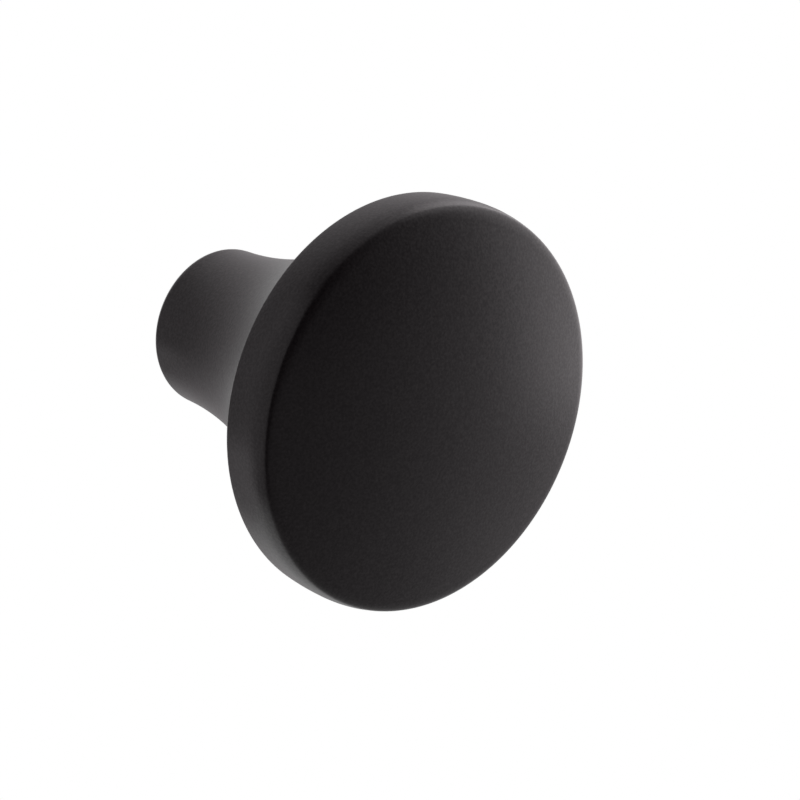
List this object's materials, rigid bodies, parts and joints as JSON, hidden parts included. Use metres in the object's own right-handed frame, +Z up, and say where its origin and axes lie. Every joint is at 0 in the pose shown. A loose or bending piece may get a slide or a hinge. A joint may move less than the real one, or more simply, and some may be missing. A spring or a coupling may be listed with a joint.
{
  "type": "cabinet knob",
  "caption": "Round matte black cabinet knob: a broad head with a domed face and a slightly barrelled rim, on a stem that flares out like a trumpet from a small round base, tapped behind for a machine screw.",
  "frame": {"origin": "centre of the mounting face, on the knob's axis", "axes": "+Y into the door or drawer front, along the knob's axis; the head faces -Y; +Z up as mounted"},
  "size_m": [0.035, 0.0315, 0.035],
  "materials": {
    "black_coat": "matte black powder coat with a fine grain, over solid metal"
  },
  "bodies": {
    "root": {"knob": "black_coat"}
  },
  "joints": []
}
